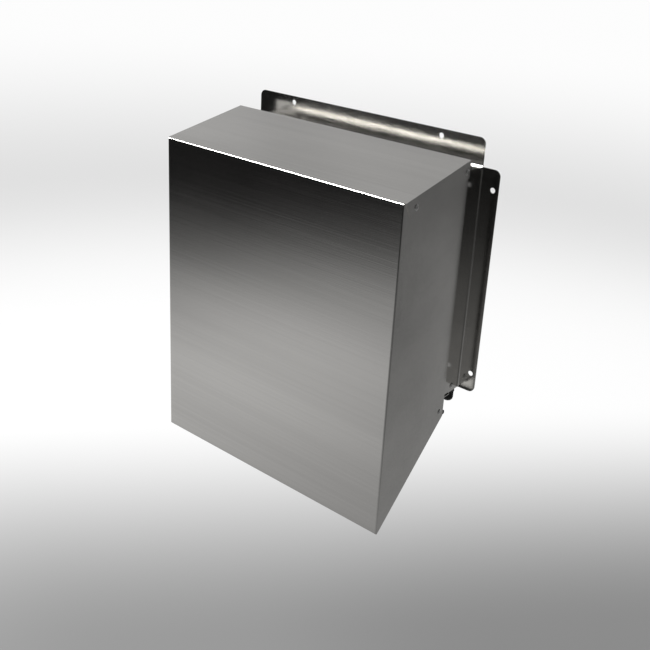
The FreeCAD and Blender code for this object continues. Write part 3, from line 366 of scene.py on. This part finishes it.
SWITCH_LOW, SWITCH_HIGH = node_box("main_switch_case")
RESIDUAL_LOW = node_box("residual_current_case")[0]
TERMINAL_LOW, TERMINAL_HIGH = node_box("phase_terminals")
BAR_LOW, BAR_HIGH = node_box("neutral_bar")
DEVICE_FOOT, DEVICE_TOP = SWITCH_LOW[2], SWITCH_HIGH[2]
TERMINAL_FOOT, TERMINAL_TOP = TERMINAL_LOW[2], TERMINAL_HIGH[2]
BAR_FOOT, BAR_TOP = BAR_LOW[2], BAR_HIGH[2]


def make_feed_wires():
    """Three loops over the top, from the main switch to the residual current switch."""
    y = DEVICE_MOUTH
    inside = DEVICE_TOP - DEVICE_GRIP
    shoulder = DEVICE_TOP + 8
    for pole in range(3):
        left = SWITCH_LOW[0] + FIRST_POLE + MODULE * pole
        right = RESIDUAL_LOW[0] + FIRST_POLE + MODULE * pole
        crown = DEVICE_TOP + 26 - 6 * pole
        make_wire(f"feed_wire_{pole + 1}", BLACK_WIRE,
                  (left, y, inside), (left, y, shoulder), (left + 4, y + 3, crown),
                  ((left + right) / 2, y + 4, crown + 1),
                  (right - 4, y + 3, crown), (right, y, shoulder), (right, y, inside))


def make_outgoing_wires():
    """From each breaker's top, along and down the right side, and back to its terminal."""
    for way in range(6):
        low, high = node_box(f"breaker_{way + 1}_case")
        start = (low[0] + high[0]) / 2
        lane = WIRE_LANE * way
        back = -34 - lane / 3
        side = 140 - lane / 2
        crown = DEVICE_TOP + 12 + lane / 2
        foot = TERMINAL_LOW[0] + TERMINAL / 2 + 2 * TERMINAL * (5 - way)
        make_wire(f"outgoing_wire_{way + 1}", BLACK_WIRE,
                  (start, DEVICE_MOUTH, DEVICE_TOP - DEVICE_GRIP), (start, DEVICE_MOUTH, DEVICE_TOP + 6),
                  (start + 5, DEVICE_MOUTH + 8, crown), (side - 8, back, crown),
                  (side, back, DEVICE_TOP - 4), (side, back, 40),
                  (side - 4, back - 2, 2 + lane / 2), (foot + 26, back - 6, lane / 2),
                  (foot + 5, TERMINAL_MOUTH, lane / 2 - 3), (foot, TERMINAL_MOUTH, -12),
                  (foot, TERMINAL_MOUTH, TERMINAL_TOP - TERMINAL_GRIP))


def make_bar_wires():
    """From the feet of the neutral and earth terminals to the holes of their bars."""
    y = TERMINAL_MOUTH
    inside = TERMINAL_FOOT + TERMINAL_GRIP
    end = BAR_TOP + BAR_GAP
    for way in range(3):
        foot = 17.5 + TERMINAL * way
        hole = BAR_PITCH * (5 - 2 * way) - BAR_MIDDLE
        low = -2 * way
        make_wire(f"neutral_wire_{way + 1}", BLUE_WIRE,
                  (foot, y, inside), (foot, y, low - 70), (foot - 8, y + 2, low - 75),
                  (hole + 8, BAR_MOUTH - 2.5, low - 77), (hole, BAR_MOUTH, -82), (hole, BAR_MOUTH, end))
        foot = 36.1 + TERMINAL * way
        hole = BAR_PITCH * (2 * way - 5) + BAR_MIDDLE
        high = 2 * way
        make_wire(f"earth_wire_{way + 1}", GREEN_WIRE,
                  (foot, y, inside), (foot, y, -70), (foot + 3, y + 3, high - 75),
                  (hole - 3, BAR_MOUTH - 2.5, high - 77), (hole, BAR_MOUTH, -81), (hole, BAR_MOUTH, end))


def make_long_wires():
    """The neutral feed round the terminals' left end, and the enclosure's earth from its stud."""
    hole = -BAR_MIDDLE - 5 * BAR_PITCH
    pole = -53.4
    make_wire("neutral_feed_wire", BLUE_WIRE,
              (pole, DEVICE_MOUTH, DEVICE_FOOT + DEVICE_GRIP), (pole, DEVICE_MOUTH, 14),
              (-60, -46, 4), (-96, -42, 0), (-126, -38, -8), (-134, -34, -40), (-130, -30, -72),
              (hole, BAR_MOUTH, -82), (hole, BAR_MOUTH, BAR_TOP + BAR_GAP))
    hole = BAR_MIDDLE + 4 * BAR_PITCH
    make_wire("enclosure_earth_wire", GREEN_WIRE,
              (hole, BAR_MOUTH, BAR_FOOT - BAR_GAP), (hole, BAR_MOUTH + BAR_GAP, -104), (116, -22, -112),
              (119, -14, -117), (120, -9, -122), (120, -9, -126))


make_feed_wires()
make_outgoing_wires()
make_bar_wires()
make_long_wires()


# ---------------------------------------------------------------- camera

CAMERA_PLACE = Vector((0.7158, -0.98198, 0.45055))
CAMERA_YAW = 0.62608
CAMERA_PITCH = 0.34468
CAMERA_ROLL = 0.06891
CAMERA_LENS = 48.247
CAMERA_SHIFT = (-0.0525, -0.138)


def camera_matrix(place, yaw, pitch, roll):
    """Forward from yaw and downward pitch, then right and up turned about it by roll."""
    forward = Vector((-sin(yaw) * cos(pitch), cos(yaw) * cos(pitch), -sin(pitch)))
    level = Vector((cos(yaw), sin(yaw), 0))
    upright = level.cross(forward)
    right = level * cos(roll) + upright * sin(roll)
    above = upright * cos(roll) - level * sin(roll)
    turn = Matrix((right, above, -forward)).transposed().to_4x4()
    return Matrix.Translation(place) @ turn


camera_data = bpy.data.cameras.new("camera")
camera_data.lens = CAMERA_LENS
camera_data.sensor_width = 36
camera_data.shift_x, camera_data.shift_y = CAMERA_SHIFT
camera_data.clip_start = 0.01
camera_data.clip_end = 200
camera = bpy.data.objects.new("camera", camera_data)
camera.matrix_world = camera_matrix(CAMERA_PLACE, CAMERA_YAW, CAMERA_PITCH, CAMERA_ROLL)
scene.collection.objects.link(camera)
scene.camera = camera
scene.view_settings.view_transform = "Standard"


# ---------------------------------------------------------------- floor, world and light

# painted light: the floor's own glow rises with distance behind the cabinet and, as painted shade,
# falls off to the right, with a brighter painted pool of light in front on the left; distances are in
# metres
FLOOR_Z = -0.8
FLOOR_RADIUS = 14.0
FLOOR_CORNERS = 96
FLOOR_CENTRE = (0, 0, FLOOR_Z)
FLOOR_FADE = (1.0, 3.3)
FLOOR_AWAY = (-0.7, 0.714, 0)
FLOOR_DEPTHS = (0.05, 0.88)
FLOOR_GLOW = (0.235, 0.95)
TO_THE_RIGHT = (1, 0, 0)
SHADED_RIGHT = (0.5, 1.3)
SHADED_GLOW = (1.0, 0.5)
POOL_PLACE = (-1.0, -1.2, FLOOR_Z)
POOL_REACH = 1.2
POOL_GLOW = 0.33

# the room: where each soft patch lies, how far it spreads (as cosines) and how bright it is
UP = (0, 0, 1)
DOWN = (0, 0, -1)
WALL_PATCH = ((-0.6, 0.8, 0), 0.4, 0.85)
RIGHT_PATCH = ((0.75, 0.6, 0), 0.3, 0.9)
FRONT_PATCH = ((0.78, -0.62, 0.3), 0.8, 0.99)
HIGH_PATCH = (UP, 0.05, 0.5)
BAND_TOP = (DOWN, 0.12, 0.29)
BAND_END = (DOWN, 0.3, 0.46)
WALL_GLOW = (0.012, 0.98)
HIGH_GLOW = 0.45
BAND_GLOW = 0.76
RIGHT_GLOW = 0.12
FRONT_GLOW = 0.08
# planes through the room's middle whose soft edges change the upper wall's brightness across them
ROOM_EDGES = (
    ((0.738, 0.613, 0.282), (-0.02, 0.01), (1.05, 0.96)),
    ((0.6, 0.768, -0.226), (-0.03, 0.03), (1.0, 1.13)),
    ((0.522, 0.769, -0.368), (-0.02, 0.05), (1.0, 0.9)),
)

SOFTBOX_PLACE = (-0.9, -0.8, 1.4)
SOFTBOX_AIM = (-0.7, -0.6, FLOOR_Z)
SOFTBOX_SIZE = (1.5, 1.1)
SOFTBOX_POWER = 100


def rising(tree, amount, low, high, start=0.0, end=1.0):
    """A smooth step from start to end as the amount runs from low to high."""
    step = add(tree, "MapRange", interpolation_type="SMOOTHSTEP")
    for name, limit in (("From Min", low), ("From Max", high), ("To Min", start), ("To Max", end)):
        step.inputs[name].default_value = limit
    tree.links.new(amount, step.inputs["Value"])
    return step.outputs["Result"]


def along_heading(tree, vector, heading):
    """How far a point or a direction lies along a heading."""
    along = add(tree, "VectorMath", operation="DOT_PRODUCT")
    along.inputs[1].default_value = heading
    tree.links.new(vector, along.inputs[0])
    return along.outputs["Value"]


def floor_distance(tree, vector, centre):
    """The distance of a point on the floor from a centre."""
    away = add(tree, "VectorMath", operation="DISTANCE")
    away.inputs[1].default_value = centre
    tree.links.new(vector, away.inputs[0])
    return away.outputs["Value"]


def make_floor():
    """A disc: radius times the cosine and sine of a full turn, faded out with distance; its glow is
    painted light.
    """
    turn = np.linspace(0, 2 * pi, FLOOR_CORNERS, endpoint=False)
    edge = np.stack([FLOOR_RADIUS * np.cos(turn), FLOOR_RADIUS * np.sin(turn),
                     np.full_like(turn, FLOOR_Z)], axis=1)
    mesh = bpy.data.meshes.new("studio_floor")
    mesh.from_pydata(edge.tolist(), [], [list(range(len(edge)))])
    floor = bpy.data.objects.new("studio_floor", mesh)
    scene.collection.objects.link(floor)
    # a dark base colour: the floor's paleness is painted light from its emission
    material, tree, shader = start_material("light_painted_floor", (0.04, 0.04, 0.04), 0.9)
    place = add(tree, "TexCoord").outputs["Object"]
    away = along_heading(tree, place, FLOOR_AWAY)
    right = along_heading(tree, place, TO_THE_RIGHT)
    # painted light: a glow that brightens away from the camera, with painted shade towards the right
    painted_floor_light = times(tree, rising(tree, away, *FLOOR_DEPTHS, *FLOOR_GLOW),
                  rising(tree, right, *SHADED_RIGHT, *SHADED_GLOW))
    # painted light: a brighter pool of light painted on the floor in front on the left
    pool = rising(tree, floor_distance(tree, place, POOL_PLACE), 0.0, POOL_REACH, 1.0, 0.0)
    tree.links.new(add_up(tree, painted_floor_light, pool, POOL_GLOW), shader.inputs["Emission Strength"])
    shader.inputs["Emission Color"].default_value = (1, 1, 1, 1)
    clear = add(tree, "BsdfTransparent")
    mix = add(tree, "MixShader")
    fade = rising(tree, floor_distance(tree, place, FLOOR_CENTRE), *FLOOR_FADE)
    tree.links.new(fade, mix.inputs["Fac"])
    tree.links.new(shader.outputs["BSDF"], mix.inputs[1])
    tree.links.new(clear.outputs["BSDF"], mix.inputs[2])
    tree.links.new(mix.outputs["Shader"], tree.nodes["Material Output"].inputs["Surface"])
    floor.data.materials.append(material)


def patch(tree, direction, wanted, low, high):
    """A smooth factor that rises as the world's direction nears the wanted one."""
    return rising(tree, along_heading(tree, direction, Vector(wanted).normalized()), low, high)


def make_world():
    """A dark room in front, a bright wall behind on the left, a grey one on the right."""
    world = bpy.data.worlds.new("studio")
    world.use_nodes = True
    tree = world.node_tree
    back = tree.nodes["Background"]
    direction = add(tree, "TexCoord").outputs["Generated"]
    above = patch(tree, direction, *HIGH_PATCH)
    streaks = above
    for edge, limits, shares in ROOM_EDGES:
        side_of_edge = along_heading(tree, direction, edge)
        streaks = times(tree, streaks, rising(tree, side_of_edge, *limits, *shares))
    height_glow = add_up(tree, between(tree, above, 1.0, 0.0), streaks, HIGH_GLOW)
    band_end = between(tree, patch(tree, direction, *BAND_END), 1.0, 0.0)
    band = times(tree, patch(tree, direction, *BAND_TOP), band_end)
    wall = times(tree, patch(tree, direction, *WALL_PATCH), height_glow)
    wall = times(tree, wall, between(tree, band, 1.0, BAND_GLOW))
    glow = between(tree, wall, *WALL_GLOW)
    glow = add_up(tree, glow, patch(tree, direction, *RIGHT_PATCH), RIGHT_GLOW)
    glow = add_up(tree, glow, patch(tree, direction, *FRONT_PATCH), FRONT_GLOW)
    tree.links.new(glow, back.inputs["Strength"])
    back.inputs["Color"].default_value = (1, 1, 1, 1)
    scene.world = world


def area_light(name, place, aim, size, power):
    """A soft rectangular light at place, facing aim."""
    data = bpy.data.lights.new(name, "AREA")
    data.shape = "RECTANGLE"
    data.size, data.size_y = size
    data.energy = power
    light = bpy.data.objects.new(name, data)
    light.location = place
    light.rotation_mode = "QUATERNION"
    light.rotation_quaternion = (Vector(aim) - Vector(place)).to_track_quat("-Z", "Y")
    scene.collection.objects.link(light)


make_floor()
make_world()
area_light("overhead_softbox", SOFTBOX_PLACE, SOFTBOX_AIM, SOFTBOX_SIZE, SOFTBOX_POWER)
